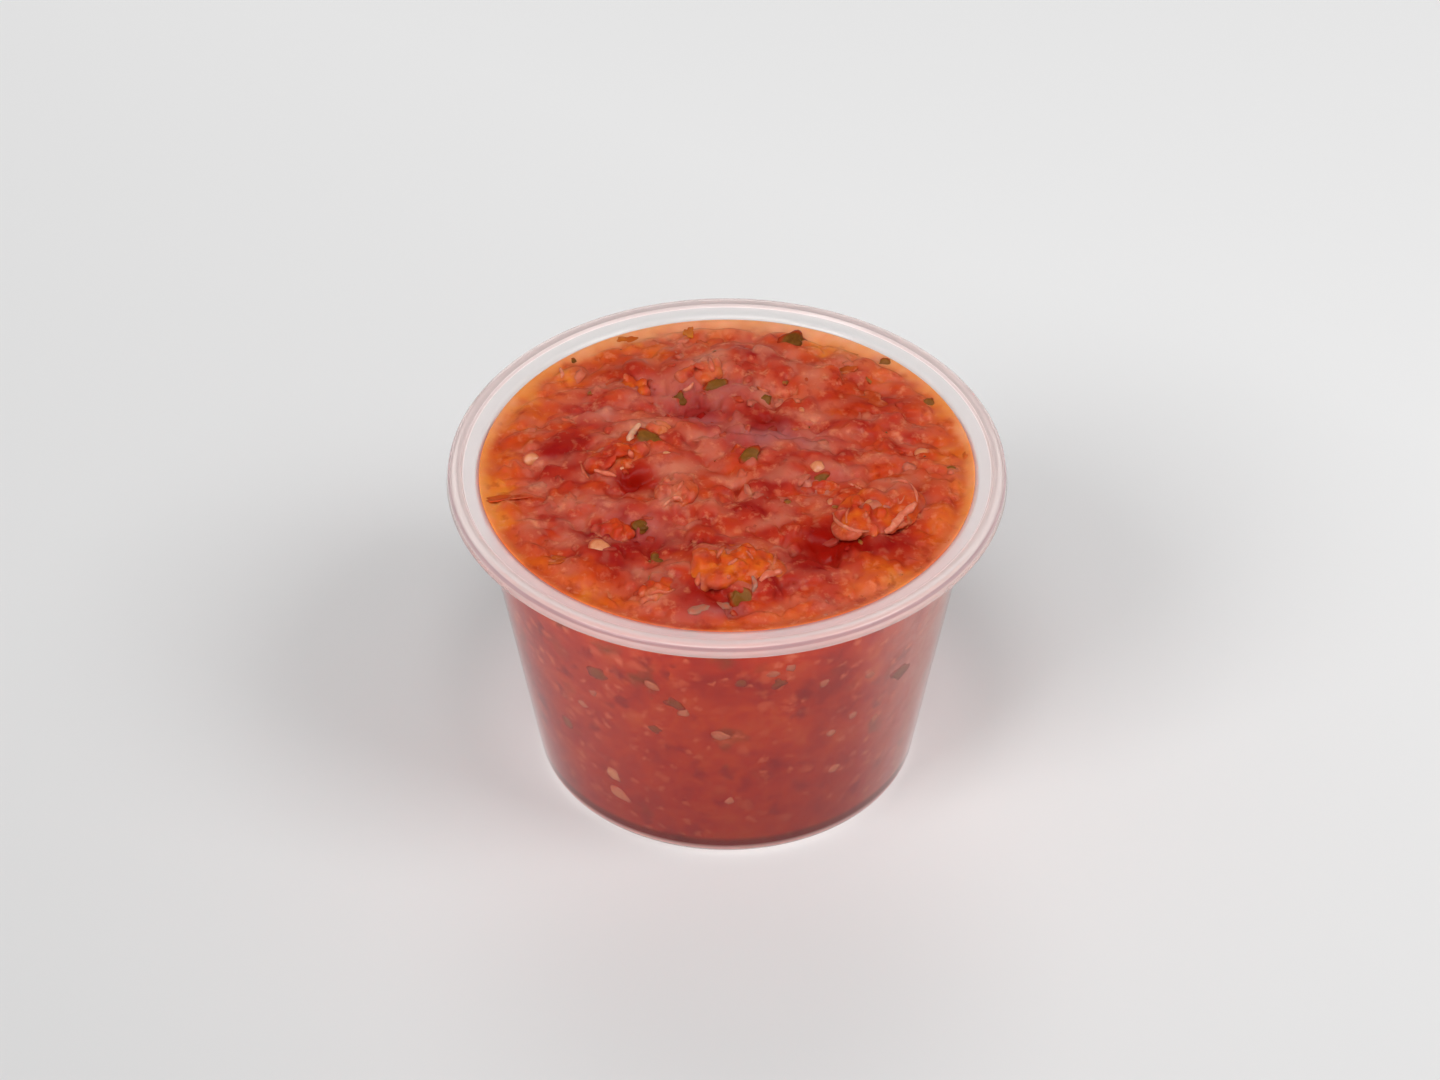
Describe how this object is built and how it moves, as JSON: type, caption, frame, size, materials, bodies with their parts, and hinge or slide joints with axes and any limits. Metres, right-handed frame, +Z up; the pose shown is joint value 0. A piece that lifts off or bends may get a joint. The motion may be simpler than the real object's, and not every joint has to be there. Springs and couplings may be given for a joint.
{
  "type": "spicy tomato salad in a clear portion cup",
  "caption": "Finely chopped juicy tomato salad with seeds and herbs, filling a clear tapered portion cup with a flat flanged rim.",
  "frame": {"origin": "middle of the cup's foot, on the surface it stands on", "axes": "+Z up along the cup's axis; the side nearest the viewer in the picture faces -Y"},
  "size_m": [0.074, 0.074, 0.0494],
  "materials": {
    "clear_plastic": "clear, slightly hazy, glossy",
    "tomato_salad": "wet, glossy, red to orange with pale seeds and green flecks"
  },
  "bodies": {
    "root": {"cup": "clear_plastic", "salad": "tomato_salad"}
  },
  "joints": []
}
